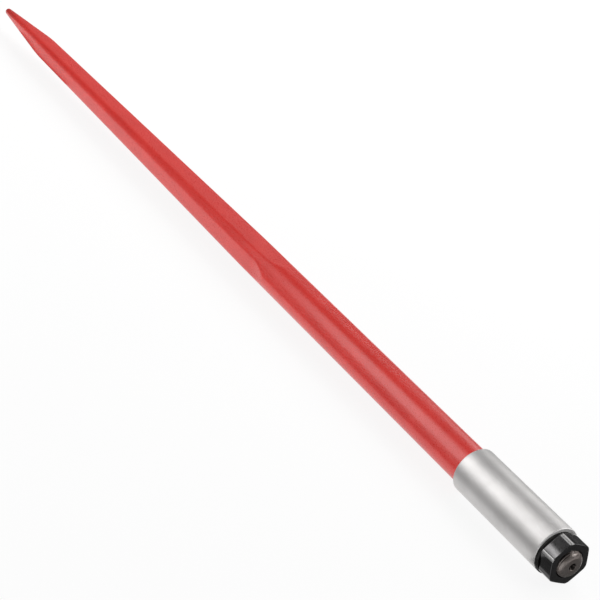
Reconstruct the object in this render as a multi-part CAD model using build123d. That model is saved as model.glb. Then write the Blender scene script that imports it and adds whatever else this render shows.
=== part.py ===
from build123d import *
from math import acos, asin, atan2, cos, hypot, pi, radians, sin, sqrt, tan
import os

# Bale spear: a forged spear with a taper seat and a threaded stud, its weld-in sleeve, a washer and a nut.
#
# Millimetres, +Z up. The spear's axis is X and its point faces +X. The origin is the middle of the sleeve,
# on that axis, where the loader's frame holds it. The flats of the taper face +Z, -Z, +Y and -Y.

# ---- Driving dimensions --------------------------------------------------------------------------
# Shaft and point of the spear
SHAFT_DIAMETER = 44.45            # round bar that the spear is forged from
SPEAR_REACH = 1245.0              # exposed length, from the sleeve's mouth to the tip
NOSE_RADIUS = 4.8                 # ball at the very tip
POINT_LENGTH = 139.0              # from the tip to the shoulder, where the steep point meets the long taper
SHOULDER_ACROSS_CORNERS = 32.0
SHOULDER_ACROSS_FLATS = 26.4
SHOULDER_RADIUS = 400.0           # the forging rolls over the shoulder on this radius
NOSE_ACROSS_FLATS = 10.2          # between the flats' planes at the very tip, wider than the ball there
CORNER_TAPER_LENGTH = 636.0       # from the shoulder to where the corners reach the shaft's diameter
CORNER_TAPER_RADIUS = 2000.0      # and the radius that blends them into it
FLATS_END_ACROSS = 38.2           # across the flats where they start to run out
TOP_FLATS_START = 429.0           # the top and bottom flats start to run out here, from the sleeve's mouth
SIDE_FLATS_START = 445.0          # and the two side flats here
RUNOUT_RADIUS = 170.0             # the flats climb out of the bar on this radius
RIDGE_SOFTENING = 5.0             # fillet all round each flat, against the rounded corners and the shaft

# Taper seat and stud
SEAT_SMALL_DIAMETER = 32.6        # small end of the cone
SEAT_SHORT = 6.0                  # the cone ends this far inside the sleeve, so the nut can draw it home
THREAD_DIAMETER = 30.0            # M30 x 2, modelled plain to its crests
RELIEF_DIAMETER = 27.0            # run-out groove between the cone and the thread
RELIEF_WIDTH = 5.0
STUD_PROJECTION = 5.0             # past the nut's face
STUD_CHAMFER = 3.0
CENTRE_HOLE_DIAMETER = 8.0        # mouth of the lathe centre in the stud's end
CENTRE_HOLE_ANGLE = 60.0          # included angle of its cone
CENTRE_PILOT_DIAMETER = 3.0
CENTRE_PILOT_DEPTH = 8.0

# Sleeve
SLEEVE_DIAMETER = 53.4
SLEEVE_LENGTH = 140.0
SLEEVE_CHAMFER = 1.2              # on both outer rims
SEAT_GAP = 0.08                   # between the cone and the sleeve's bore, on the radius

# Washer and nut
WASHER_DIAMETER = 49.0
WASHER_THICKNESS = 4.0
WASHER_BORE = 35.0
WASHER_LOW = 1.6                  # the loose washer was clamped off centre, low
WASHER_ASIDE = 1.5                # and to one side
WASHER_CHAMFER = 0.4
NUT_ACROSS_FLATS = 46.0
NUT_HEIGHT = 18.0
NUT_FACE_DIAMETER = 46.6          # circle that the chamfer leaves on each face of the nut
NUT_CHAMFER_ANGLE = 30.0          # between the chamfer's cone and the face
NUT_CORNER_ANGLE = 22.8           # where the nut's first corner came to rest, from +Y towards +Z
THREAD_GAP = 0.15                 # between the stud's crests and the nut's plain bore, on the radius
NUT_MOUTH = 1.2                   # countersink at both ends of the nut's bore

OVERRUN = 2.0                     # how far a cutting outline is drawn past the solid that it cuts

# ---- What follows from them ----------------------------------------------------------------------
MOUTH_X = SLEEVE_LENGTH / 2       # sleeve's mouth, where the shaft comes out
REAR_X = -SLEEVE_LENGTH / 2       # sleeve's rear end, where the washer sits
TIP_X = MOUTH_X + SPEAR_REACH
SHOULDER_X = TIP_X - POINT_LENGTH
FULL_ROUND_X = SHOULDER_X - CORNER_TAPER_LENGTH
SHAFT_RADIUS = SHAFT_DIAMETER / 2
SEAT_END_X = REAR_X + SEAT_SHORT
SEAT_SMALL_RADIUS = SEAT_SMALL_DIAMETER / 2
SEAT_SLOPE = (SHAFT_RADIUS - SEAT_SMALL_RADIUS) / (MOUTH_X - SEAT_END_X)
NUT_X = REAR_X - WASHER_THICKNESS
NUT_FACE_X = NUT_X - NUT_HEIGHT
STUD_END_X = NUT_FACE_X - STUD_PROJECTION
THREAD_RADIUS = THREAD_DIAMETER / 2
RELIEF_RADIUS = RELIEF_DIAMETER / 2
BORE_RADIUS = THREAD_RADIUS + THREAD_GAP


def turned(*half_section):
    """Turned solid: the closed half section, drawn as (x, radius) corners, spun about the spear's axis."""
    return revolve(Plane.XY * make_face(Polyline(*half_section, close=True)), Axis.X)


def eased(corner_before, corner, corner_after, radius):
    """Arc of the given radius that rounds the middle one of three corners of an outline."""
    corner = Vector(*corner)
    before = (Vector(*corner_before) - corner).normalized()
    after = (Vector(*corner_after) - corner).normalized()
    half_angle = radians(before.get_angle(after)) / 2
    setback = radius / tan(half_angle)
    inward = (before + after).normalized()
    middle = corner + inward * (radius / sin(half_angle) - radius)
    return ThreePointArc(corner + before * setback, middle, corner + after * setback)


def bar():
    """Round bar before its flats: ball nose, point, taper of the corners, shaft, seat and stud."""
    ball_x = TIP_X - NOSE_RADIUS
    shoulder = (SHOULDER_X, SHOULDER_ACROSS_CORNERS / 2)
    full_round = (FULL_ROUND_X, SHAFT_RADIUS)
    mouth = (MOUTH_X, SHAFT_RADIUS)
    # The point's cone touches the ball: it leans as the line to the ball's centre does, less the angle that
    # the ball's radius fills there.
    run = ball_x - SHOULDER_X
    rise = shoulder[1]
    lean = atan2(rise, run) - asin(NOSE_RADIUS / hypot(run, rise))
    touch = (ball_x + NOSE_RADIUS * sin(lean), NOSE_RADIUS * cos(lean))
    halfway = (pi / 2 - lean) / 2
    ball_middle = (ball_x + NOSE_RADIUS * cos(halfway), NOSE_RADIUS * sin(halfway))
    nose = ThreePointArc((TIP_X, 0), ball_middle, touch)
    shoulder_arc = eased(touch, shoulder, full_round, SHOULDER_RADIUS)
    shaft_arc = eased(shoulder, full_round, mouth, CORNER_TAPER_RADIUS)
    relief_end_x = SEAT_END_X - RELIEF_WIDTH
    rear = Polyline(
        shaft_arc @ 1,
        mouth,
        (SEAT_END_X, SEAT_SMALL_RADIUS),
        (SEAT_END_X, RELIEF_RADIUS),
        (relief_end_x, RELIEF_RADIUS),
        (relief_end_x - (THREAD_RADIUS - RELIEF_RADIUS), THREAD_RADIUS),
        (STUD_END_X + STUD_CHAMFER, THREAD_RADIUS),
        (STUD_END_X, THREAD_RADIUS - STUD_CHAMFER),
        (STUD_END_X, 0),
        (TIP_X, 0),
    )
    point = Line(touch, shoulder_arc @ 0)
    taper = Line(shoulder_arc @ 1, shaft_arc @ 0)
    return revolve(make_face(nose + point + shoulder_arc + taper + shaft_arc + rear), Axis.X)


def flats(plane, runout_x):
    """What two opposite flats leave of the bar: their side view in plane, pushed through both ways."""
    front_x = TIP_X + OVERRUN
    back_x = STUD_END_X - OVERRUN
    point_slope = (SHOULDER_ACROSS_FLATS - NOSE_ACROSS_FLATS) / 2 / POINT_LENGTH
    tip = (front_x, NOSE_ACROSS_FLATS / 2 - OVERRUN * point_slope)
    shoulder = (SHOULDER_X, SHOULDER_ACROSS_FLATS / 2)
    runout = (runout_x, FLATS_END_ACROSS / 2)
    clear = SHAFT_RADIUS + OVERRUN
    taper_angle = atan2(runout[1] - shoulder[1], SHOULDER_X - runout_x)
    # The run-out arc starts along the taper and climbs until it is clear of the bar.
    steepest = acos(cos(taper_angle) - (clear - runout[1]) / RUNOUT_RADIUS)

    def on_arc(angle):
        x = runout_x + RUNOUT_RADIUS * (sin(taper_angle) - sin(angle))
        return x, runout[1] + RUNOUT_RADIUS * (cos(taper_angle) - cos(angle))

    shoulder_arc = eased(tip, shoulder, runout, SHOULDER_RADIUS)
    point = Polyline((front_x, 0), tip, shoulder_arc @ 0)
    taper = Line(shoulder_arc @ 1, runout)
    runout_arc = ThreePointArc(runout, on_arc((taper_angle + steepest) / 2), on_arc(steepest))
    back = Polyline(on_arc(steepest), (back_x, clear), (back_x, 0), (front_x, 0))
    half = make_face(point + shoulder_arc + taper + runout_arc + back)
    return extrude(plane * (half + mirror(half, Plane.XZ)), clear, both=True)


def flat_borders(solid):
    """Edges round each flat, where it meets the round of the bar: all that are no line and no circle."""
    straight_or_round = (GeomType.LINE, GeomType.CIRCLE)
    return [edge for edge in solid.edges() if edge.geom_type not in straight_or_round]


def lathe_centre():
    """Centre hole that the stud was turned on: a cone and the pilot drilled behind it."""
    mouth = CENTRE_HOLE_DIAMETER / 2
    pilot = CENTRE_PILOT_DIAMETER / 2
    half_angle = radians(CENTRE_HOLE_ANGLE / 2)
    cone_depth = (mouth - pilot) / tan(half_angle)
    drill_point = pilot * tan(half_angle)
    return turned(
        (STUD_END_X, 0),
        (STUD_END_X, mouth),
        (STUD_END_X + cone_depth, pilot),
        (STUD_END_X + CENTRE_PILOT_DEPTH, pilot),
        (STUD_END_X + CENTRE_PILOT_DEPTH + drill_point, 0),
    )


def spear():
    """The forging: flats hammered on the round bar, softened all round, and its stud centre drilled."""
    side_flats = flats(Plane.XY, MOUTH_X + SIDE_FLATS_START)
    top_flats = flats(Plane.XZ, MOUTH_X + TOP_FLATS_START)
    forged = bar() & side_flats & top_flats
    return fillet(flat_borders(forged), RIDGE_SOFTENING) - lathe_centre()


def sleeve():
    """Weld-in sleeve: a tube with chamfered rims and a taper bore that matches the seat."""
    outer = SLEEVE_DIAMETER / 2
    mouth = SHAFT_RADIUS + SEAT_GAP
    small_end = mouth - SEAT_SLOPE * SLEEVE_LENGTH
    return turned(
        (MOUTH_X, mouth),
        (MOUTH_X, outer - SLEEVE_CHAMFER),
        (MOUTH_X - SLEEVE_CHAMFER, outer),
        (REAR_X + SLEEVE_CHAMFER, outer),
        (REAR_X, outer - SLEEVE_CHAMFER),
        (REAR_X, small_end),
    )


def washer():
    """Flat ring between the sleeve's end and the nut, lying off centre within its bore's play."""
    outer = WASHER_DIAMETER / 2
    inner = WASHER_BORE / 2
    ring = turned(
        (REAR_X, inner),
        (REAR_X, outer - WASHER_CHAMFER),
        (REAR_X - WASHER_CHAMFER, outer),
        (NUT_X + WASHER_CHAMFER, outer),
        (NUT_X, outer - WASHER_CHAMFER),
        (NUT_X, inner),
    )
    return Pos(0, WASHER_ASIDE, -WASHER_LOW) * ring


def hex_nut():
    """Hexagon nut: chamfered at both faces, its plain bore clear of the thread's crests and countersunk."""
    hexagon = RegularPolygon(NUT_ACROSS_FLATS / 2, 6, major_radius=False)
    blank = extrude(Plane.YZ.offset(NUT_FACE_X) * Rot(0, 0, NUT_CORNER_ANGLE) * hexagon, NUT_HEIGHT)
    face = NUT_FACE_DIAMETER / 2
    corner = NUT_ACROSS_FLATS / sqrt(3) + OVERRUN
    chamfer_depth = (corner - face) * tan(radians(NUT_CHAMFER_ANGLE))
    envelope = turned(
        (NUT_X, 0),
        (NUT_X, face),
        (NUT_X - chamfer_depth, corner),
        (NUT_FACE_X + chamfer_depth, corner),
        (NUT_FACE_X, face),
        (NUT_FACE_X, 0),
    )
    bore = turned(
        (NUT_X, 0),
        (NUT_X, BORE_RADIUS + NUT_MOUTH),
        (NUT_X - NUT_MOUTH, BORE_RADIUS),
        (NUT_FACE_X + NUT_MOUTH, BORE_RADIUS),
        (NUT_FACE_X, BORE_RADIUS + NUT_MOUTH),
        (NUT_FACE_X, 0),
    )
    return (blank & envelope) - bore


os.makedirs("parts", exist_ok=True)
for name, solid in {"spear": spear(), "sleeve": sleeve(), "washer": washer(), "hex_nut": hex_nut()}.items():
    export_step(solid, f"parts/{name}.step")
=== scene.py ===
import math

import bpy
import numpy as np
from bpy.props import FloatProperty, FloatVectorProperty, IntProperty, PointerProperty
from mathutils import Matrix, Vector


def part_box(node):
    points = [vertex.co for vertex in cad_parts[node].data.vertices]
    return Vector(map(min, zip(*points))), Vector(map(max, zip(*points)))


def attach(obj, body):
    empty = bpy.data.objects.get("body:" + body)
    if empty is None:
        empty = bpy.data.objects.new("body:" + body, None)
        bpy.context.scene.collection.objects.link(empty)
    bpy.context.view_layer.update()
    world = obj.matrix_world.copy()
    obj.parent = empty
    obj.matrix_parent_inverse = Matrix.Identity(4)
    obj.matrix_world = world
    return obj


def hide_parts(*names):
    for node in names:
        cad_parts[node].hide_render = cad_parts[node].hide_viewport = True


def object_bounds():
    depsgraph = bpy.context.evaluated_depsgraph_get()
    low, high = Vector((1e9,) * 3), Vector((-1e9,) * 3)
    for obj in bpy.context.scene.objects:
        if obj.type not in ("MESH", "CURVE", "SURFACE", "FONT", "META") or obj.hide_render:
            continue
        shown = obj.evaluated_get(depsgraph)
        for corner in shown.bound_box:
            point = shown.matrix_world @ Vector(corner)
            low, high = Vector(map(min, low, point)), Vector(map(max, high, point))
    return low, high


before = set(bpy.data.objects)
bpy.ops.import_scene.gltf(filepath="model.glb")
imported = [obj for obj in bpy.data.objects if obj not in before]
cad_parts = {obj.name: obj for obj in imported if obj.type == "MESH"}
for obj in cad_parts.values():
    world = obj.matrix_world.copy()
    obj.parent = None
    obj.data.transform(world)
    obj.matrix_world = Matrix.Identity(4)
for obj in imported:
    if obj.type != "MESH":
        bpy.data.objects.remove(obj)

bl_info = {
    "name": "Bale Spear",
    "version": (1, 0, 0),
    "blender": (4, 5, 0),
    "location": "3D View > Sidebar > Bale Spear",
    "description": (
        "Dresses a forged bale spear, its weld-in sleeve, washer and nut, and sets up a studio for it"
    ),
    "category": "Add Mesh",
}

# The spear's axis is X and its point faces +X, as in the solid model. All lengths are in metres.
CAD_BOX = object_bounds()
SPEAR_LOW, SPEAR_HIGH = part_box("spear")
SLEEVE_LOW, SLEEVE_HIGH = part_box("sleeve")
WASHER_LOW, WASHER_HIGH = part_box("washer")
NUT_LOW, NUT_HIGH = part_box("hex_nut")


def length(name, description, default):
    """Property for a length, kept in metres and shown in the scene's own unit."""
    return FloatProperty(
        name=name, description=description, default=default, min=0.0, precision=5, unit="LENGTH"
    )


def colour(name, description, default):
    """Property for a linear colour."""
    return FloatVectorProperty(
        name=name, description=description, default=default, size=3, min=0.0, max=1.0, subtype="COLOR"
    )


def share(name, description, default):
    """Property for a number between nothing and all."""
    return FloatProperty(
        name=name, description=description, default=default, min=0.0, max=1.0, subtype="FACTOR"
    )


def turn(name, description, degrees):
    """Property for an angle, given here in degrees."""
    return FloatProperty(name=name, description=description, default=math.radians(degrees), subtype="ANGLE")


def light_turn(name, degrees):
    """Property for where a light stands round the spear, given here in degrees."""
    return turn(name, "Where it stands round the spear, from +Y towards +Z", degrees)


def brightness(name, thing, default):
    """Property for how bright a light or a surface looks, where 1 is white."""
    return FloatProperty(name=name, description="Brightness of " + thing, default=default, min=0.0)


# ---- Sizes and colours that a user would change ----


class BaleSpearForging(bpy.types.PropertyGroup):
    """Sizes of the painted forging."""

    nose: length("Nose radius", "Ball at the very tip", 0.0048)
    point: length("Point length", "From the tip to the shoulder", 0.139)
    shoulder_corners: length("Shoulder across corners", "Across the rounded corners at the shoulder", 0.032)
    shoulder_flats: length("Shoulder across flats", "Across the flats at the shoulder", 0.0264)
    shoulder_roll: length("Shoulder roll", "Radius on which the forging rolls over the shoulder", 0.4)
    nose_flats: length("Nose across flats", "Between the planes of the flats at the very tip", 0.0102)
    corner_taper: length("Corner taper", "From the shoulder back to the full round of the shaft", 0.636)
    corner_blend: length("Corner blend", "Radius that blends the corners into the shaft", 2.0)
    flats_end: length("Flats at their end", "Across the flats where they start to run out", 0.0382)
    top_runout: length("Top flats start", "From the sleeve's mouth to where the top flats run out", 0.429)
    side_runout: length("Side flats start", "From the sleeve's mouth to where the side flats run out", 0.445)
    runout_radius: length("Run-out radius", "Radius on which the flats climb out of the bar", 0.17)
    softening: length("Ridge softening", "How much the meeting of flat and corner is rounded off", 0.0019)
    runout_softening: length("Run-out softening", "The same where the flats run out", 0.0010)
    flat_crown: length("Flat crown", "How much each flat falls from its middle to its edges", 0.00025)
    seat_small: length("Seat small end", "Diameter of the small end of the seat's cone", 0.0326)
    seat_short: length("Seat short", "How far the seat ends inside the sleeve", 0.006)
    places: IntProperty(name="Places round", description="Points round each section", default=192, min=24)


class BaleSpearStud(bpy.types.PropertyGroup):
    """Sizes of the bare threaded stud."""

    diameter: length("Thread diameter", "Across the crests of the thread", 0.030)
    pitch: length("Thread pitch", "From one crest to the next", 0.002)
    relief: length("Relief diameter", "Run-out groove before the thread", 0.027)
    relief_width: length("Relief width", "Width of that groove", 0.005)
    chamfer: length("End chamfer", "Chamfer on the end of the stud", 0.0036)
    rim: length("Face rounding", "Rounding from the chamfer to the face", 0.0030)
    centre: length("Lathe centre", "Mouth of the centre hole in the end", 0.0086)
    pilot: length("Pilot", "Diameter of the pilot hole behind it", 0.003)
    pilot_depth: length("Pilot depth", "Depth of the pilot hole", 0.008)
    places: IntProperty(name="Places round", description="Points round each section", default=144, min=24)


class BaleSpearHardware(bpy.types.PropertyGroup):
    """Sizes of the sleeve, the washer and the nut."""

    sleeve_mouth: length("Sleeve bore at the mouth", "Bore of the sleeve where the shaft comes out", 0.04461)
    sleeve_end: length("Sleeve bore at the end", "Bore of the sleeve beside the washer", 0.03223)
    sleeve_chamfer: length("Sleeve chamfer", "Chamfer on both outer rims", 0.0006)
    washer_bore: length("Washer bore", "Hole in the washer", 0.035)
    washer_edge: length("Washer edge", "Rounding of the washer's rims", 0.0003)
    washer_bevel: length("Washer bevel", "How far along the rim the bevel on the nut's side reaches", 0.0018)
    nut_flats: length("Nut across flats", "Width of the nut over two flats", 0.046)
    nut_face: length("Nut face", "Circle that the chamfer leaves on each face of the nut", 0.0495)
    nut_corner: turn("Nut turned", "Where the nut's first corner came to rest, from +Y towards +Z", 22.8)
    nut_chamfer: turn("Nut chamfer", "Between the chamfer's cone and the face", 30.0)
    nut_edge: length("Nut edge", "Rounding of the nut's corners and rims", 0.0006)
    nut_round: length("Nut corner rounding", "How wide the nut's corners are rolled", 0.0026)
    nut_crown: length("Nut crown", "How much each flat of the nut is crowned between its corners", 0.0005)
    thread_gap: length("Thread gap", "Between the stud's crests and the nut's bore", 0.00015)
    nut_mouth: length("Nut countersink", "Countersink at both ends of the nut's bore", 0.0012)


class BaleSpearFinishes(bpy.types.PropertyGroup):
    """Colours and gloss of the finishes."""

    paint: colour("Paint", "Red powder coat", (0.595, 0.024, 0.017))
    paint_deep: colour("Paint, thick", "The coat where it lies thicker", (0.545, 0.019, 0.013))
    # Colour that the paint darkens to at the very tip.
    paint_point: colour("Paint at the point", "The darker coat at the very point", (0.42, 0.018, 0.014))
    paint_roughness: share("Paint roughness", "Roughness of the coat", 0.29)
    turned: colour("Turned steel", "The sleeve's steel", (0.665, 0.652, 0.644))
    # The faced ends are matt, and their pale colour is painted light that stands in for the light they catch.
    faced: colour("Faced ends", "The pale faced ends of the sleeve", (0.90, 0.89, 0.88))
    turned_roughness: share("Turned roughness", "Roughness of the sleeve's steel", 0.42)
    turned_grain: share("Turned grain", "How far the lathe's marks spread the gloss along the sleeve", 0.7)
    oxide: colour("Black oxide", "The nut", (0.092, 0.090, 0.091))
    oxide_roughness: share("Oxide roughness", "Roughness of the black oxide", 0.12)
    washer_black: colour("Washer's black", "The washer's dull black", (0.040, 0.039, 0.039))
    washer_roughness: share("Washer roughness", "Roughness of the washer", 0.42)
    stud: colour("Bare stud", "Brown heat-treated steel of the stud", (0.30, 0.258, 0.238))
    stud_roughness: share("Stud roughness", "Roughness of the bare stud", 0.34)


class BaleSpearStudio(bpy.types.PropertyGroup):
    """The floor, the lights and the camera."""

    floor: length("Floor size", "Width of the pale floor", 60.0)
    floor_colour: colour("Floor colour", "The pale floor", (0.9, 0.9, 0.9))
    floor_white: share("Floor white", "How much plain white the camera and the gloss see in the floor", 0.9)
    room: brightness("Room", "the dim room all round", 0.15)
    key: brightness("Key", "the long light in the shaft's gloss", 1.95)
    sleeve_key: brightness("Sleeve key", "the light in the sleeve's gloss", 0.95)
    key_around: light_turn("Key around", 47.0)
    glow: brightness("Glow", "the wider light round it", 1.0)
    glow_around: light_turn("Glow around", 51.0)
    back: brightness("Back", "the light behind the sleeve", 1.6)
    back_around: light_turn("Back around", 150.0)
    stud_light: brightness("Stud light", "the light on the stud's rim", 5.2)
    stud_light_around: light_turn("Stud light around", 138.0)
    strip: brightness("Strip", "the narrow light on the nut", 5.0)
    strip_around: light_turn("Strip around", 56.5)
    point_gloss: brightness("Point gloss", "the sheen on the point's top", 0.2)
    nut_side: brightness("Nut side", "the light on the nut's corner", 2.8)
    nut_side_around: light_turn("Nut side around", 36.0)
    sleeve_top: brightness("Sleeve top", "the light on the sleeve's end", 2.6)
    sleeve_top_around: light_turn("Sleeve top around", 80.0)
    top: brightness("Top fill", "the light on the shaft's top", 2.35)
    top_around: light_turn("Top fill around", 112.0)
    side: brightness("Side fill", "the light on the shaft's side", 3.25)
    side_around: light_turn("Side fill around", 5.0)
    point_top: brightness("Point top", "the light on the point's top", 6.3)
    point_top_around: light_turn("Point top around", 134.0)
    point_side: brightness("Point side", "the light on the point's side", 6.6)
    # The cards paint shade into the gloss, standing in for the floor's shade about the spear.
    card: brightness("Card", "the dark cards", 0.18)
    card_near: length("Card near", "From the spear's axis to the near edge of the dark card", 0.07)
    camera_turn: turn("Camera turn", "Where the camera stands round the spear, from +X towards +Y", 144.14)
    camera_height: turn("Camera height", "How far the camera looks down", 29.54)
    camera_roll: turn("Camera roll", "How far the camera is rolled", 10.31)
    camera_distance: length("Camera distance", "From the camera to the point that it looks at", 2.0957)
    camera_lens: FloatProperty(
        name="Lens", description="Focal length on a 36 mm sensor", default=106.7, subtype="DISTANCE_CAMERA"
    )
    aim: FloatVectorProperty(
        name="Aim", description="Point that the camera looks at", default=(0.4251, 0.0017, 0.0),
        subtype="TRANSLATION",
    )


# ---- Surfaces ----

SHARP_EDGE = math.radians(40)  # two faces that meet at more than this are shaded as an edge


def eased_outline(corners, radii, steps=7):
    """Outline through corners (one row each), every inner one rounded on its own radius.

    The arc of a corner starts and ends radius / tan(half the angle there) away from it. Its centre lies on
    the bisector, radius / sin(half the angle) away. Its points turn evenly from the first radius to the
    last."""
    corners = np.asarray(corners, float)
    inner = corners[1:-1]
    before = corners[:-2] - inner
    after = corners[2:] - inner
    before /= np.linalg.norm(before, axis=1, keepdims=True)
    after /= np.linalg.norm(after, axis=1, keepdims=True)
    half = np.arccos(np.clip((before * after).sum(1), -1, 1))[:, None] / 2
    radii = np.asarray(radii, float)[:, None]
    bisector = before + after
    bisector /= np.linalg.norm(bisector, axis=1, keepdims=True)
    centre = inner + bisector * radii / np.sin(half)
    first = inner + before * radii / np.tan(half) - centre
    last = inner + after * radii / np.tan(half) - centre
    sweep = (np.pi - 2 * half)[:, None]
    way = np.linspace(0, 1, steps)[None, :, None]
    arcs = np.sin((1 - way) * sweep) * first[:, None] + np.sin(way * sweep) * last[:, None]
    arcs = centre[:, None] + arcs / np.sin(sweep)
    return np.concatenate([corners[:1], arcs.reshape(-1, 2), corners[-1:]])


def soft_min(a, b, width):
    """The smaller of a and b, blended where they differ by less than width: less width * h * h / 4, where h
    runs from 1 where they are equal to 0 where they differ by the width."""
    h = np.maximum(width - np.abs(a - b), 0) / width
    return np.minimum(a, b) - h * h * width / 4


def rings_about_x(x, radius, angle, middle=(0.0, 0.0)):
    """Rings about X through middle, which is (y, z): the point at (x, radius, angle) is
    (x, y + radius cos(angle), z + radius sin(angle))."""
    x, radius, angle = np.broadcast_arrays(x, radius, angle)
    return np.stack([x, middle[0] + radius * np.cos(angle), middle[1] + radius * np.sin(angle)], -1)


def round_angles(places):
    """Evenly spaced angles once round, as one row."""
    return (np.arange(places) * 2 * np.pi / places)[None, :]


def skin(name, rings, loop):
    """Closed skin over rings of points, each joined to the next.

    With loop, the last ring joins the first, as round a tube's wall. Otherwise each end closes on a pole in
    the middle of its ring. Its UV map runs once round each ring in U, and along the rings in metres in V."""
    count, places = rings.shape[:2]
    points = rings.reshape(-1, 3)
    row = np.arange(count if loop else count - 1)[:, None]
    column = np.arange(places)[None, :]
    beside = (column + 1) % places
    onward = (row + 1) % count
    quads = np.stack(
        [row * places + column, row * places + beside, onward * places + beside, onward * places + column], -1
    ).reshape(-1, 4)
    step = np.linalg.norm(np.diff(rings, axis=0, append=rings[:1]), axis=-1).mean(1)
    along = np.concatenate([[0.0], np.cumsum(step)])
    u = np.broadcast_to(column / places, (len(row), places))
    v = np.broadcast_to(along[row], (len(row), places))
    v_on = np.broadcast_to(along[row + 1], (len(row), places))
    quad_uv = np.stack([u, v, u + 1 / places, v, u + 1 / places, v_on, u, v_on], -1).reshape(-1, 2)
    faces, uv = [quads], [quad_uv]
    if not loop:
        poles = np.stack([rings[0].mean(0), rings[-1].mean(0)])
        points = np.concatenate([points, poles])
        first = np.stack([np.full(places, count * places), beside[0], column[0]], -1)
        last_row = (count - 1) * places
        last = np.stack([np.full(places, count * places + 1), last_row + column[0], last_row + beside[0]], -1)
        faces += [first, last]
        around = column[0] / places
        for fan_v in (along[0], along[count - 1]):
            level = np.full(places, fan_v)
            uv.append(np.stack([around, level, around, level, around + 1 / places, level], -1).reshape(-1, 2))
    # Where the volume that the quads close in comes out negative, they face inwards and are turned round.
    corners = points[quads]
    volume = np.einsum("ij,ij->", corners[:, 0], np.cross(corners[:, 1], corners[:, 2]))
    volume += np.einsum("ij,ij->", corners[:, 0], np.cross(corners[:, 2], corners[:, 3]))
    if volume < 0:
        faces = [block[:, ::-1] for block in faces]
        uv = [block.reshape(len(face), -1, 2)[:, ::-1].reshape(-1, 2) for block, face in zip(uv, faces)]
    mesh = bpy.data.meshes.new(name)
    mesh.from_pydata(points.tolist(), [], [face for block in faces for face in block.tolist()])
    layer = mesh.uv_layers.new(name="surface")
    layer.data.foreach_set("uv", np.concatenate(uv).ravel())
    mesh.polygons.foreach_set("use_smooth", np.ones(len(mesh.polygons), bool))
    mesh.set_sharp_from_angle(angle=SHARP_EDGE)
    mesh.update()
    piece = bpy.data.objects.new(name, mesh)
    bpy.context.scene.collection.objects.link(piece)
    return piece


def wall_rings(corners, radii, places, middle=(0.0, 0.0)):
    """A turned wall: its closed section, (x, radius) corners that are each rounded, spun about X."""
    corners = np.asarray(corners, float)
    looped = np.concatenate([corners[-1:], corners, corners[:1]])
    outline = eased_outline(looped, radii)[1:-1]
    return rings_about_x(outline[:, :1], outline[:, 1:], round_angles(places), middle)


def seat(piece, node, material):
    """Gives a finished piece its material and its body, hides the CAD node that it stands for, and gives that
    node's slots the same material.
    """
    piece.data.materials.append(material)
    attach(piece, "root")
    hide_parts(node)
    for own_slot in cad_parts[node].material_slots:
        own_slot.material = material


# ---- Finishes ----

# Where a Mix node keeps its two colour inputs and its colour result, past those for numbers and vectors.
MIX_COLOURS = slice(6, 8)
MIX_RESULT = 2


class Finish:
    """A material under construction, with its shader and its object coordinates at hand."""

    def __init__(self, name):
        self.material = bpy.data.materials.new(name)
        self.material.use_nodes = True
        self.nodes = self.material.node_tree.nodes
        self.links = self.material.node_tree.links
        self.shader = self.nodes["Principled BSDF"]
        self.place = self.nodes.new("ShaderNodeTexCoord").outputs["Object"]

    def feed(self, socket, value):
        """Links a socket to another, or sets it to a plain value."""
        if isinstance(value, bpy.types.NodeSocket):
            self.links.new(value, socket)
        else:
            socket.default_value = value

    def node(self, kind, settings=None, **inputs):
        """New node with its settings, and its inputs fed with values or sockets. _ stands for a space."""
        made = self.nodes.new(kind)
        for key, value in (settings or {}).items():
            setattr(made, key, value)
        for key, value in inputs.items():
            self.feed(made.inputs[key.replace("_", " ")], value)
        return made

    def stretched(self, scale):
        """Object coordinates, scaled by scale along each axis."""
        return self.node("ShaderNodeMapping", Vector=self.place, Scale=scale).outputs["Vector"]

    def off_axis(self):
        """Distance from the spear's axis, which is X."""
        flat = self.stretched((0.0, 1.0, 1.0))
        return self.node("ShaderNodeVectorMath", {"operation": "LENGTH"}, Vector=flat).outputs["Value"]

    def noise(self, scale, detail=3.0, roughness=0.5, vector=None):
        """Noise with scale cells to the metre."""
        vector = vector or self.place
        return self.node(
            "ShaderNodeTexNoise", Vector=vector, Scale=scale, Detail=detail, Roughness=roughness
        ).outputs["Fac"]

    def ramp(self, value, low, high, to_low=0.0, to_high=1.0):
        """Value from low to high, spread from to_low to to_high with soft ends."""
        return self.node(
            "ShaderNodeMapRange", {"interpolation_type": "SMOOTHSTEP"},
            Value=value, From_Min=low, From_Max=high, To_Min=to_low, To_Max=to_high,
        ).outputs["Result"]

    def maths(self, operation, first, second):
        """Math node on sockets or numbers."""
        made = self.nodes.new("ShaderNodeMath")
        made.operation = operation
        for socket, value in zip(made.inputs, (first, second)):
            self.feed(socket, value)
        return made.outputs[0]

    def blend(self, factor, first, second):
        """Mix of two colours, which are sockets or plain linear colours."""
        made = self.nodes.new("ShaderNodeMix")
        made.data_type = "RGBA"
        self.links.new(factor, made.inputs["Factor"])
        for socket, value in zip(made.inputs[MIX_COLOURS], (first, second)):
            self.feed(socket, value if isinstance(value, bpy.types.NodeSocket) else (*value, 1.0))
        return made.outputs[MIX_RESULT]

    def bump(self, height, depth, over=None):
        """Bump whose height of 1 stands for depth metres, laid over an earlier bump."""
        made = self.node("ShaderNodeBump", Height=height, Distance=depth, Strength=1.0)
        if over is not None:
            self.links.new(over, made.inputs["Normal"])
        return made.outputs["Normal"]

    def set(self, **inputs):
        """Sets or links the shader's inputs. _ stands for a space."""
        for key, value in inputs.items():
            self.feed(self.shader.inputs[key.replace("_", " ")], value)
        return self.material


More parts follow.
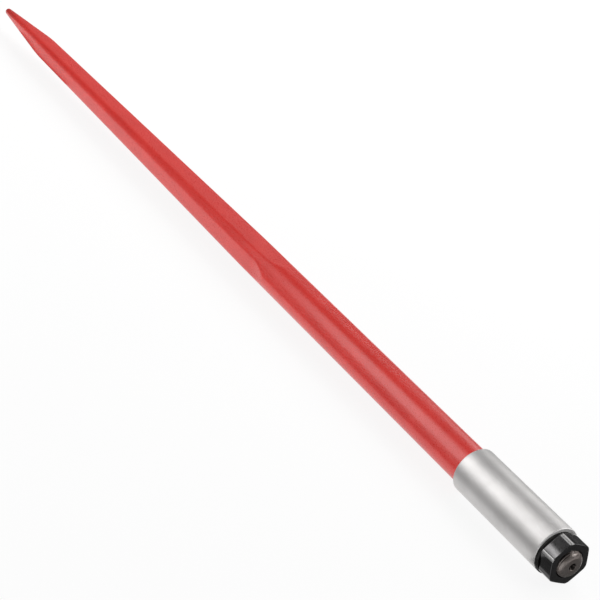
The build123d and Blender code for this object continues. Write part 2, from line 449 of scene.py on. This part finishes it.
def painted_finish(look):
    """Red powder coat over a hammered forging: a fine orange peel, long soft hammer marks, slow changes of
    depth, and darker colour towards the very point."""
    coat = Finish("red_powder_coat")
    peel = coat.noise(900.0, detail=2.0)
    hammer = coat.noise(1.0, detail=2.0, vector=coat.stretched((16.0, 55.0, 55.0)))
    cloud = coat.noise(1.0, detail=4.0, roughness=0.6, vector=coat.stretched((22.0, 60.0, 60.0)))
    shade = coat.ramp(cloud, 0.3, 0.7)
    relief = coat.bump(hammer, depth=0.00016)
    along = coat.node("ShaderNodeSeparateXYZ", Vector=coat.place).outputs["X"]
    # Over the last few centimetres the colour darkens towards the tip.
    darkening, darkest = SPEAR_HIGH.x - 0.055, SPEAR_HIGH.x - 0.006
    point = coat.ramp(along, darkening, darkest)
    return coat.set(
        Base_Color=coat.blend(point, coat.blend(shade, look.paint_deep, look.paint), look.paint_point),
        Roughness=coat.ramp(peel, 0.25, 0.75, look.paint_roughness - 0.03, look.paint_roughness + 0.04),
        Specular_IOR_Level=0.85,
        Normal=coat.bump(peel, depth=0.000012, over=relief),
    )


def turned_finish(look):
    """Fine turned steel: rings from the lathe's feed round the sleeve, the gloss spread across them, and
    matt faced ends, painted paler to stand in for the light that they catch."""
    steel = Finish("turned_steel")
    rings = steel.node(
        "ShaderNodeTexWave", {"wave_type": "BANDS", "bands_direction": "X", "wave_profile": "SIN"},
        Vector=steel.place, Scale=620.0, Distortion=0.6, Detail=2.0,
    ).outputs["Fac"]
    chatter = steel.noise(1.0, detail=4.0, roughness=0.7, vector=steel.stretched((1500.0, 3.0, 3.0)))
    drift = steel.noise(28.0, detail=3.0)
    round_the_sleeve = {"direction_type": "UV_MAP", "uv_map": "surface"}
    tangent = steel.node("ShaderNodeTangent", round_the_sleeve).outputs["Tangent"]
    soft = steel.ramp(chatter, 0.3, 0.7, look.turned_roughness - 0.05, look.turned_roughness + 0.05)
    # The faced ends are where the surface faces along X, to either side. Their pale, matt colour is partly
    # painted light, standing in for the bright reflection that they catch.
    normal = steel.nodes["Texture Coordinate"].outputs["Normal"]
    facing = steel.node("ShaderNodeSeparateXYZ", Vector=normal).outputs["X"]
    end_face = steel.ramp(steel.maths("ABSOLUTE", facing, 0.0), 0.6, 0.85)
    lighter = tuple(min(1.0, value * 1.04) for value in look.turned)
    darker = tuple(value * 0.93 for value in look.turned)
    side = steel.blend(steel.ramp(drift, 0.3, 0.7), darker, lighter)
    return steel.set(
        Base_Color=steel.blend(end_face, side, look.faced),
        Metallic=steel.ramp(end_face, 0.0, 1.0, 1.0, 0.0),
        Roughness=steel.maths("ADD", soft, steel.maths("MULTIPLY", end_face, 0.15)),
        Anisotropic=look.turned_grain,
        Tangent=tangent,
        Normal=steel.bump(rings, depth=0.0000020),
    )


def oxide_finish(name, black, roughness, corner=None):
    """Black oxide over machined steel: near black, semi-gloss, with a faint mottle.

    With corner, the angle of a hexagon's first corner, the steel shines through along all six corners."""
    oxide = Finish(name)
    mottle = oxide.noise(1.0, detail=4.0, roughness=0.6, vector=oxide.stretched((45.0, 420.0, 420.0)))
    fine = oxide.noise(1400.0, detail=2.0)
    deeper = tuple(value * 0.7 for value in black)
    shade = oxide.blend(oxide.ramp(mottle, 0.42, 0.72), black, deeper)
    gloss = oxide.ramp(mottle, 0.3, 0.7, roughness - 0.03, roughness + 0.03)
    if corner is not None:
        # Way round the nut from the nearest corner, in metres, made a little ragged by the mottle.
        axes = oxide.node("ShaderNodeSeparateXYZ", Vector=oxide.place).outputs
        around = oxide.maths("SUBTRACT", oxide.maths("ARCTAN2", axes["Z"], axes["Y"]), corner)
        apart = oxide.maths("MULTIPLY", oxide.maths("PINGPONG", around, math.pi / 6), NUT_HIGH.z)
        apart = oxide.maths("ADD", apart, oxide.maths("MULTIPLY", mottle, 0.0006))
        bare_within, black_beyond = 0.0014, 0.0025
        worn = oxide.ramp(apart, bare_within, black_beyond, 1.0, 0.0)
        # Only the corners stand this far from the axis, so neither face is worn.
        black_below, bare_above = 0.0242, 0.0250
        worn = oxide.maths("MULTIPLY", worn, oxide.ramp(oxide.off_axis(), black_below, bare_above))
        bare_steel, bare_roughness = (0.54, 0.535, 0.53), 0.32
        shade = oxide.blend(worn, shade, bare_steel)
        gloss = oxide.maths("ADD", gloss, oxide.maths("MULTIPLY", worn, bare_roughness))
    return oxide.set(
        Base_Color=shade,
        Metallic=1.0,
        Roughness=gloss,
        Specular_Tint=(0.8, 0.8, 0.8, 1.0),
        Normal=oxide.bump(fine, depth=0.000006),
    )


def stud_finish(look):
    """Heat-treated steel, left bare: brown and grey patches, and painted shade in the lathe's centre hole."""
    bare = Finish("bare_brown_steel")
    patch = bare.noise(130.0, detail=5.0, roughness=0.6)
    fine = bare.noise(1700.0, detail=2.0)
    grey = tuple(0.7 * value + 0.08 for value in look.stud)
    steel = bare.blend(bare.ramp(patch, 0.35, 0.68), look.stud, grey)
    # Painted shade: near the axis the centre hole's colour goes dark, standing in for the shade in that
    # recess. The mask called scale below is this painted shade.
    painted_shade_within, bare_beyond = 0.0039, 0.0046
    scale = bare.ramp(bare.off_axis(), painted_shade_within, bare_beyond, 1.0, 0.0)
    # Colour of the painted shade in the centre hole.
    dark = tuple(0.16 * value for value in look.stud)
    return bare.set(
        Base_Color=bare.blend(scale, steel, dark),
        Metallic=1.0,
        Roughness=bare.ramp(patch, 0.3, 0.7, look.stud_roughness - 0.06, look.stud_roughness + 0.08),
        Normal=bare.bump(fine, depth=0.00001),
    )


# ---- Pieces ----

CROWN_LIMIT = 1.5  # where the fall of a crowned flat stops, past its edge, on the forging and the nut

# The forging. A flat is a plane, whose distance along a ray grows as one over the cosine of the ray's angle.
LEAST_COSINE = 0.2  # keeps a plane that a ray hardly meets from running off
CROWN_GROWTH = 2.2  # how fast a flat's crown grows with the square of its way
MOST_CROWN, MOST_BLEND = 0.02, 0.15  # the most of the radius that a crown and a softened ridge may take
NOSE_SWEEP = 0.995  # how much of the ball nose has rings, short of the pole that closes it
OUTLINE_STEPS = 24  # points on each rolled corner of the forging's outlines
STEEPEST_CLIMB = 0.9  # sine of the run-out's slope where it stops, long out of the bar
CLEAR_OF_BAR = 1.5  # the furthest that a flat climbs, in radii of the shaft

# The stud.
THREAD_DEPTH = 0.61  # from crest to root, in pitches
ROOT_FLAT, FLANK = 0.14, 0.70  # what root and flank take of the half pitch from the root to the crest
FADE_LENGTH = 1.5  # over how many pitches the thread comes out of its groove
STUD_BLEND = 0.0009  # softens the meeting of the thread and the chamfer
FACE_STEP = 0.00025  # from the last ring of the chamfer in to the first of the face
PILOT_TIP = 0.0002  # radius at which the pilot's bottom closes on its pole

# The nut.
RIM_START = 1.3  # where the rings past the rim's rounding start, in radii of that rounding
RIM_DEPTH = 0.0028  # how deep from each face they go
CHAMFER_BLEND = 0.0005  # softens the meeting of the chamfer and the sides
BORE_LIP = 0.0002  # how far each face runs on past the countersink's edge


class BALESPEAR_OT_forging(bpy.types.Operator):
    """Painted forging: point, square taper with rounded corners, round shaft and the seat in the sleeve"""

    bl_idname = "balespear.forging"
    bl_label = "Painted Forging"

    def execute(self, context):
        size = context.scene.bale_spear_forging
        tip, mouth, rear = SPEAR_HIGH.x, SLEEVE_HIGH.x, SLEEVE_LOW.x
        shaft = SPEAR_HIGH.z
        seat_end = rear + size.seat_short
        shoulder = tip - size.point
        x = self.stations(size, tip, mouth, seat_end, shoulder)[:, None]
        angle = round_angles(size.places) + np.pi / size.places
        # The round of the bar comes first, and then each pair of flats cuts it, softly at the ridges.
        round_x, round_r = self.round_outline(size, tip, shaft, mouth, seat_end, shoulder)
        radius = np.interp(x, round_x, round_r)
        # The ridges are crisp where the flats run out, and soften towards the point.
        crisp_until, soft_from = mouth + size.side_runout - 0.02, mouth + size.side_runout + 0.06
        softer = self.ease_step(x, crisp_until, soft_from)
        blend = size.runout_softening + (size.softening - size.runout_softening) * softer
        for start, across in ((size.side_runout, np.cos(angle)), (size.top_runout, np.sin(angle))):
            half_width = self.flat_outline(size, x, tip, shaft, mouth + start, shoulder)
            across = np.maximum(np.abs(across), LEAST_COSINE)
            # The crown grows as the square of the way along the flat, the tangent of the ray's angle.
            way = np.minimum(CROWN_GROWTH * (1 / across**2 - 1), CROWN_LIMIT)
            crown = np.minimum(size.flat_crown, radius * MOST_CROWN) * way
            radius = soft_min(radius, (half_width - crown) / across, np.minimum(blend, radius * MOST_BLEND))
        piece = skin("painted_forging", rings_about_x(x, radius, angle), loop=False)
        seat(piece, "spear", painted_finish(context.scene.bale_spear_finishes))
        return {"FINISHED"}

    @staticmethod
    def stations(size, tip, mouth, seat_end, shoulder):
        """Where the sections stand along X: evenly within each run, and closing up over the ball nose, where
        they go as the sine of an even sweep."""
        before_runout = mouth + size.top_runout - 0.05
        after_runout = mouth + size.side_runout + 0.01
        nose = tip - 2 * size.nose
        stops = (seat_end, mouth, before_runout, after_runout, shoulder - 0.03, shoulder + 0.03, nose)
        counts = (30, 90, 110, 110, 30, 50)
        runs = [np.linspace(*run, endpoint=False) for run in zip(stops, stops[1:], counts)]
        sweep = np.linspace(0, NOSE_SWEEP, 26) * np.pi / 2
        return np.concatenate([*runs, tip - 2 * size.nose * (1 - np.sin(sweep))])

    @staticmethod
    def ease_step(x, low, high):
        """0 below low, 1 above high, and 3 t^2 - 2 t^3 between them."""
        t = np.clip((x - low) / (high - low), 0, 1)
        return t * t * (3 - 2 * t)

    @staticmethod
    def round_outline(size, tip, shaft, mouth, seat_end, shoulder):
        """Radius of the bar before its flats: seat cone, shaft, corners' taper, point's cone and ball nose.

        The point's cone leaves the shoulder and touches the ball, so it leans by the angle of the line from
        the shoulder to the ball's middle, less the angle whose sine is the ball's radius over that line."""
        ball = tip - size.nose
        rise, run = size.shoulder_corners / 2, ball - shoulder
        lean = math.atan2(rise, run) - math.asin(size.nose / math.hypot(rise, run))
        touch = (ball + size.nose * math.sin(lean), size.nose * math.cos(lean))
        full_round = shoulder - size.corner_taper
        outline = eased_outline(
            [(mouth, shaft), (full_round, shaft), (shoulder, rise), touch],
            [size.corner_blend, size.shoulder_roll], OUTLINE_STEPS,
        )
        sweep = np.linspace(math.pi / 2 - lean, 0, 40)
        nose = np.stack([ball + size.nose * np.cos(sweep), size.nose * np.sin(sweep)], -1)
        outline = np.concatenate([[(seat_end, size.seat_small / 2)], outline, nose[1:]])
        return outline[:, 0], outline[:, 1]

    @staticmethod
    def flat_outline(size, x, tip, shaft, runout, shoulder):
        """Distance of a flat from the axis at x: the straight lines of point and taper, rolled over at the
        shoulder, and behind the run-out's start a circle that leaves the taper's line and climbs out of the
        bar."""
        at_tip, at_shoulder, at_runout = size.nose_flats / 2, size.shoulder_flats / 2, size.flats_end / 2
        line = eased_outline(
            [(runout, at_runout), (shoulder, at_shoulder), (tip, at_tip)], [size.shoulder_roll], OUTLINE_STEPS
        )
        slope = math.atan2(at_runout - at_shoulder, shoulder - runout)
        sine = np.clip((runout - x) / size.runout_radius + math.sin(slope), -1, STEEPEST_CLIMB)
        climb = at_runout + size.runout_radius * (math.cos(slope) - np.sqrt(1 - sine * sine))
        straight = np.interp(x, line[:, 0], line[:, 1])
        return np.where(x < runout, np.minimum(climb, shaft * CLEAR_OF_BAR), straight)


class BALESPEAR_OT_stud(bpy.types.Operator):
    """Bare threaded stud with its run-out groove, end chamfer and lathe centre"""

    bl_idname = "balespear.stud"
    bl_label = "Threaded Stud"

    def execute(self, context):
        size = context.scene.bale_spear_stud
        forging = context.scene.bale_spear_forging
        end = SPEAR_LOW.x
        start = SLEEVE_LOW.x + forging.seat_short
        crest = size.diameter / 2
        groove = start - size.relief_width
        angle = round_angles(size.places)
        # Even sections along the thread, which close up over the chamfer towards the face.
        along = np.linspace(start, end + size.chamfer, 250)
        x = np.concatenate([along, end + size.chamfer * np.linspace(0.97, 0, 40) ** 2])[:, None]
        # 60 degree thread: over each half pitch its height goes evenly from a flat root to a flat crest. It
        # winds left-handed. A minus before the angle in the phase would wind it right-handed.
        depth = THREAD_DEPTH * size.pitch
        phase = np.abs((x / size.pitch + angle / (2 * np.pi)) % 1.0 - 0.5) * 2
        root = crest - depth
        thread = root + depth * np.clip((phase - ROOT_FLAT) / FLANK, 0, 1)
        faded = np.clip((groove - x) / (FADE_LENGTH * size.pitch), 0, 1)
        thread = size.relief / 2 + (thread - size.relief / 2) * faded
        # The chamfer leans at 45 degrees, and a quarter round rolls it over to the face.
        near = np.clip(1 - (x - end) / size.rim, 0, 1)
        cone = crest - size.chamfer + (x - end) - size.rim * (1 - np.sqrt(1 - near * near))
        radius = soft_min(thread, cone, STUD_BLEND)
        rim = radius[-1:].min() - FACE_STEP
        # The face, then the centre's cone and its pilot, whose bottom closes on the pole.
        half_cone = math.tan(math.radians(30))
        cone_depth = (size.centre - size.pilot) / 2 / half_cone
        inner = eased_outline(
            [
                (end, rim), (end, size.centre / 2), (end + cone_depth, size.pilot / 2),
                (end + size.pilot_depth, size.pilot / 2), (end + size.pilot_depth, PILOT_TIP),
            ],
            [0.0004, 0.0002, 0.0002], steps=5,
        )
        rings = np.concatenate([
            rings_about_x(x, radius, angle),
            rings_about_x(inner[:, :1], inner[:, 1:], angle),
        ])
        piece = skin("threaded_stud", rings, loop=False)
        seat(piece, "spear", stud_finish(context.scene.bale_spear_finishes))
        return {"FINISHED"}


class BALESPEAR_OT_sleeve(bpy.types.Operator):
    """Weld-in sleeve: a turned tube with chamfered rims and a taper bore"""

    bl_idname = "balespear.sleeve"
    bl_label = "Weld-in Sleeve"

    def execute(self, context):
        size = context.scene.bale_spear_hardware
        mouth, rear, outer = SLEEVE_HIGH.x, SLEEVE_LOW.x, SLEEVE_HIGH.z
        chamfer = size.sleeve_chamfer
        corners = [
            (mouth, size.sleeve_mouth / 2), (mouth, outer - chamfer), (mouth - chamfer, outer),
            (rear + chamfer, outer), (rear, outer - chamfer), (rear, size.sleeve_end / 2),
        ]
        sharp, soft = 0.00025, 0.0004
        rings = wall_rings(corners, [sharp, sharp, soft, soft, sharp, sharp], places=256)
        piece = skin("weld_in_sleeve", rings, loop=True)
        seat(piece, "sleeve", turned_finish(context.scene.bale_spear_finishes))
        return {"FINISHED"}


class BALESPEAR_OT_washer(bpy.types.Operator):
    """Ring washer, clamped a little off centre"""

    bl_idname = "balespear.washer"
    bl_label = "Ring Washer"

    def execute(self, context):
        size = context.scene.bale_spear_hardware
        look = context.scene.bale_spear_finishes
        outer = (WASHER_HIGH.z - WASHER_LOW.z) / 2
        inner = size.washer_bore / 2
        middle = ((WASHER_LOW.y + WASHER_HIGH.y) / 2, (WASHER_LOW.z + WASHER_HIGH.z) / 2)
        near, far, bevel = WASHER_HIGH.x, WASHER_LOW.x, size.washer_bevel
        bevelled = outer - 0.7 * bevel
        corners = [(near, inner), (near, outer), (far + bevel, outer), (far, bevelled), (far, inner)]
        rings = wall_rings(corners, [size.washer_edge] * len(corners), places=192, middle=middle)
        material = oxide_finish("black_oxide_washer", look.washer_black, look.washer_roughness)
        seat(skin("ring_washer", rings, loop=True), "washer", material)
        return {"FINISHED"}


class BALESPEAR_OT_nut(bpy.types.Operator):
    """Hexagon nut with crowned flats, rounded corners and chamfered faces"""

    bl_idname = "balespear.nut"
    bl_label = "Hexagon Nut"

    def execute(self, context):
        size = context.scene.bale_spear_hardware
        look = context.scene.bale_spear_finishes
        low, high = NUT_LOW.x, NUT_HIGH.x
        places = 384
        angle = round_angles(places)
        hexagon = self.hexagon(size, angle - size.nut_corner)
        # From one face to the other: the chamfer's cones cut the corners, and both rims round off.
        rim = size.nut_edge * (1 - np.cos(np.linspace(0, np.pi / 2, 6)))
        deep = np.concatenate([rim, np.linspace(size.nut_edge * RIM_START, RIM_DEPTH, 12)])
        from_face = np.concatenate([deep, [(high - low) / 2], deep[::-1]])[:, None]
        x = np.concatenate([high - deep, [(high + low) / 2], low + deep[::-1]])[:, None]
        cone = size.nut_face / 2 + from_face / math.tan(size.nut_chamfer)
        near = np.clip(1 - from_face / size.nut_edge, 0, 1)
        rounding = size.nut_edge * (1 - np.sqrt(1 - near * near))
        side = soft_min(np.broadcast_to(hexagon, (len(x), places)), cone, CHAMFER_BLEND) - rounding
        # Both faces run in to the countersink, and the bore joins them.
        crest = context.scene.bale_spear_stud.diameter / 2 + size.thread_gap
        mouth = crest + size.nut_mouth
        lip = mouth + BORE_LIP
        way = np.linspace(0, 1, 6)[1:, None]
        face = side[-1:] * (1 - way) + lip * way
        bore = eased_outline(
            [
                (low, lip), (low, mouth), (low + size.nut_mouth, crest),
                (high - size.nut_mouth, crest), (high, mouth), (high, lip),
            ],
            [0.0001] * 4, steps=4,
        )
        rings = np.concatenate([
            rings_about_x(x, side, angle),
            rings_about_x(low, face, angle),
            rings_about_x(bore[1:-1, :1], bore[1:-1, 1:], angle),
            rings_about_x(high, face[::-1], angle),
        ])
        material = oxide_finish("black_oxide_nut", look.oxide, look.oxide_roughness, size.nut_corner)
        seat(skin("hexagon_nut", rings, loop=True), "hex_nut", material)
        return {"FINISHED"}

    @staticmethod
    def hexagon(size, angle):
        """Distance of the nut's side from its axis, with a corner at angle 0.

        A flat stands half the width over flats from the axis, less a crown that grows as the square of the
        way from its middle to the corner, all divided by the cosine of the angle from its middle. Each two
        flats blend at their corner."""
        sixth = math.pi / 3
        apart = (angle + sixth / 2) % sixth - sixth / 2
        half = size.nut_flats / 2
        first, second = apart - sixth / 2, apart + sixth / 2
        reach = math.tan(sixth / 2)
        sides = [
            (half - size.nut_crown * np.minimum((np.tan(lean) / reach) ** 2, CROWN_LIMIT)) / np.cos(lean)
            for lean in (first, second)
        ]
        return soft_min(sides[0], sides[1], size.nut_round)


# ---- Studio ----

POINT_GLOSS_LEAN = 0.25  # how far the point's sheen stands in front of the back light, in radians
FLOOR_GAP, CARD_GAP = 0.0002, 0.0005  # how far the floor lies below the spear's foot, and the cards above it
PLAIN_WHITE = (1.0, 1.0, 1.0, 1.0)


class BALESPEAR_OT_studio(bpy.types.Operator):
    """Pale floor, soft lights along the spear, dark cards beside it that paint shade into the gloss, and the
    camera
    """

    bl_idname = "balespear.studio"
    bl_label = "Studio"

    def execute(self, context):
        studio = context.scene.bale_spear_studio
        self.world(context, studio)
        self.floor(studio)
        self.cards(studio)
        # Long soft lights about the spear's axis: name, brightness, where round the axis, distance from it,
        # low and high end along X, and width. The first are for the gloss alone, the rest for matt colour.
        point_gloss_around = studio.back_around - POINT_GLOSS_LEAN
        for_gloss = (
            ("key_softbox", studio.key, studio.key_around, 1.2, 1.12, 1.56, 1.15),
            ("sleeve_softbox", studio.sleeve_key, studio.key_around, 1.2, 0.78, 1.12, 0.85),
            ("glow_softbox", studio.glow, studio.glow_around, 1.25, 0.82, 1.50, 1.5),
            ("back_softbox", studio.back, studio.back_around, 1.2, -0.5, 1.08, 0.76),
            ("stud_softbox", studio.stud_light, studio.stud_light_around, 1.2, -1.4, -0.5, 0.5),
            ("nut_strip", studio.strip, studio.strip_around, 1.2, 0.55, 0.80, 0.12),
            ("nut_side", studio.nut_side, studio.nut_side_around, 1.2, 0.3, 0.76, 0.4),
            ("sleeve_top", studio.sleeve_top, studio.sleeve_top_around, 1.2, 0.2, 0.76, 0.36),
            ("point_gloss", studio.point_gloss, point_gloss_around, 1.2, 1.3, 3.6, 1.2),
        )
        for_matt = (
            ("top_fill", studio.top, studio.top_around, 1.5, -1.2, 0.45, 1.0),
            ("side_fill", studio.side, studio.side_around, 1.5, -1.2, 0.5, 0.6),
            ("point_top", studio.point_top, studio.point_top_around, 1.5, 0.6, 2.4, 1.0),
            ("point_side", studio.point_side, studio.side_around, 1.5, 0.5, 2.4, 0.6),
        )
        for lights, hidden_from in ((for_gloss, "visible_diffuse"), (for_matt, "visible_glossy")):
            for light in lights:
                self.softbox(*light, hidden_from)
        self.camera(context, studio)
        context.scene.view_settings.view_transform = "Standard"
        return {"FINISHED"}

    @staticmethod
    def world(context, studio):
        """Dim even room. The camera sees it as plain white."""
        world = bpy.data.worlds.new("studio_world")
        world.use_nodes = True
        nodes, links = world.node_tree.nodes, world.node_tree.links
        level = nodes.new("ShaderNodeMapRange")
        links.new(nodes.new("ShaderNodeLightPath").outputs["Is Camera Ray"], level.inputs["Value"])
        level.inputs["To Min"].default_value = studio.room
        level.inputs["To Max"].default_value = 1.0
        links.new(level.outputs["Result"], nodes["Background"].inputs["Strength"])
        nodes["Background"].inputs["Color"].default_value = PLAIN_WHITE
        context.scene.world = world

    @staticmethod
    def flat_sheet(name, x, y, height):
        """Level rectangle between two values of x and two of y."""
        points = [(x[0], y[0], height), (x[1], y[0], height), (x[1], y[1], height), (x[0], y[1], height)]
        mesh = bpy.data.meshes.new(name)
        mesh.from_pydata(points, [], [(0, 1, 2, 3)])
        sheet = bpy.data.objects.new(name, mesh)
        bpy.context.scene.collection.objects.link(sheet)
        return sheet

    def floor(self, studio):
        """Pale square that the spear lies on. The camera and the gloss see it near white, shadow and all."""
        reach = studio.floor / 2
        floor = self.flat_sheet("studio_floor", (-reach, reach), (-reach, reach), CAD_BOX[0].z - FLOOR_GAP)
        pale = Finish("pale_floor")
        pale.set(Base_Color=(*studio.floor_colour, 1.0), Roughness=0.9, Specular_IOR_Level=0.1)
        rays = pale.nodes.new("ShaderNodeLightPath").outputs
        seen = pale.maths("MAXIMUM", rays["Is Camera Ray"], rays["Is Transmission Ray"])
        seen = pale.maths("MAXIMUM", seen, rays["Is Glossy Ray"])
        white = pale.node("ShaderNodeEmission", Color=PLAIN_WHITE, Strength=1.0).outputs[0]
        mix = pale.nodes.new("ShaderNodeMixShader")
        pale.links.new(pale.maths("MULTIPLY", seen, studio.floor_white), mix.inputs[0])
        pale.links.new(pale.shader.outputs[0], mix.inputs[1])
        pale.links.new(white, mix.inputs[2])
        pale.links.new(mix.outputs[0], pale.nodes["Material Output"].inputs["Surface"])
        pale.material.cycles.emission_sampling = "NONE"
        floor.data.materials.append(pale.material)

    def cards(self, studio):
        """Dark cards on the floor, which only the gloss sees: they paint shade into its reflections, standing
        in for the floor's shade about the spear. One draws the dark line along the sleeve, two keep the nut
        black, beside it and behind its face, one darkens the far side, and one shades the low edge of the
        point."""
        dark = Finish("painted_shade_card")
        grey = dark.node("ShaderNodeEmission", Color=PLAIN_WHITE, Strength=studio.card).outputs[0]
        dark.links.new(grey, dark.nodes["Material Output"].inputs["Surface"])
        dark.material.cycles.emission_sampling = "NONE"
        beside_nut = NUT_HIGH.x + 0.022
        behind_nut = NUT_LOW.x + 0.002
        # Each card's name, and where it starts and ends along X and Y.
        for name, x, y in (
            ("card_beside_sleeve", (beside_nut, 3.0), (studio.card_near, 2.5)),
            ("card_beside_nut", (behind_nut, beside_nut), (0.0305, 2.5)),
            ("card_behind_nut", (-0.25, behind_nut), (-1.5, 0.027)),
            ("card_far_side", (0.0, 4.0), (-4.0, -0.2)),
            ("card_under_point", (1.09, 1.29), (-0.02, 0.031)),
        ):
            card = self.flat_sheet(name, x, y, CAD_BOX[0].z + CARD_GAP)
            card.data.materials.append(dark.material)
            card.visible_camera = card.visible_diffuse = card.visible_shadow = False

    @staticmethod
    def softbox(name, strength, around, distance, low, high, width, hidden_from):
        """Soft light along the spear's axis from low to high, at a distance from it and facing it.

        strength is how bright its face looks, around is where it stands round the axis, from +Y towards +Z,
        and hidden_from names the rays that don't see it."""
        lamp = bpy.data.lights.new(name, "AREA")
        lamp.shape = "RECTANGLE"
        lamp.size, lamp.size_y = high - low, width
        lamp.energy = strength * math.pi * (high - low) * width
        outward = Vector((0.0, math.cos(around), math.sin(around)))
        along = Vector((1.0, 0.0, 0.0))
        facing = Matrix((along, outward.cross(along), outward)).transposed().to_4x4()
        holder = bpy.data.objects.new(name, lamp)
        holder.matrix_world = Matrix.Translation(along * (low + high) / 2 + outward * distance) @ facing
        setattr(holder, hidden_from, False)
        bpy.context.scene.collection.objects.link(holder)

    @staticmethod
    def camera(context, studio):
        """Camera on a sphere about its aim, level at first and then rolled about its line of sight."""
        height, heading = studio.camera_height, studio.camera_turn
        flat = math.cos(height)
        away = Vector((flat * math.cos(heading), flat * math.sin(heading), math.sin(height)))
        lens = bpy.data.cameras.new("studio_camera")
        lens.lens = studio.camera_lens
        lens.sensor_width = 36.0
        lens.clip_start, lens.clip_end = 0.05, 60.0
        camera = bpy.data.objects.new("studio_camera", lens)
        aim = Vector(studio.aim)
        level = (-away).to_track_quat("-Z", "Y").to_matrix()
        turned = level @ Matrix.Rotation(studio.camera_roll, 3, "Z")
        camera.matrix_world = Matrix.Translation(aim + away * studio.camera_distance) @ turned.to_4x4()
        context.scene.collection.objects.link(camera)
        context.scene.camera = camera


# ---- Panel and registration ----

GROUPS = {
    "bale_spear_forging": BaleSpearForging,
    "bale_spear_stud": BaleSpearStud,
    "bale_spear_hardware": BaleSpearHardware,
    "bale_spear_finishes": BaleSpearFinishes,
    "bale_spear_studio": BaleSpearStudio,
}
OPERATORS = (
    BALESPEAR_OT_forging,
    BALESPEAR_OT_stud,
    BALESPEAR_OT_sleeve,
    BALESPEAR_OT_washer,
    BALESPEAR_OT_nut,
    BALESPEAR_OT_studio,
)


class BALESPEAR_PT_sidebar(bpy.types.Panel):
    """Sizes, finishes and the buttons that make each piece"""

    bl_idname = "BALESPEAR_PT_sidebar"
    bl_label = "Bale Spear"
    bl_space_type = "VIEW_3D"
    bl_region_type = "UI"
    bl_category = "Bale Spear"

    def draw(self, context):
        for group, kind in GROUPS.items():
            box = self.layout.box()
            box.label(text=kind.__doc__.strip().rstrip("."))
            for key in kind.__annotations__:
                box.prop(getattr(context.scene, group), key)
        for operator in OPERATORS:
            self.layout.operator(operator.bl_idname)


def register():
    for kind in (*GROUPS.values(), *OPERATORS, BALESPEAR_PT_sidebar):
        bpy.utils.register_class(kind)
    for group, kind in GROUPS.items():
        setattr(bpy.types.Scene, group, PointerProperty(type=kind))


def unregister():
    for group in GROUPS:
        delattr(bpy.types.Scene, group)
    for kind in reversed((*GROUPS.values(), *OPERATORS, BALESPEAR_PT_sidebar)):
        bpy.utils.unregister_class(kind)


def main():
    register()
    bpy.ops.balespear.forging()
    bpy.ops.balespear.stud()
    bpy.ops.balespear.sleeve()
    bpy.ops.balespear.washer()
    bpy.ops.balespear.nut()
    bpy.ops.balespear.studio()


if __name__ == "__main__":
    main()
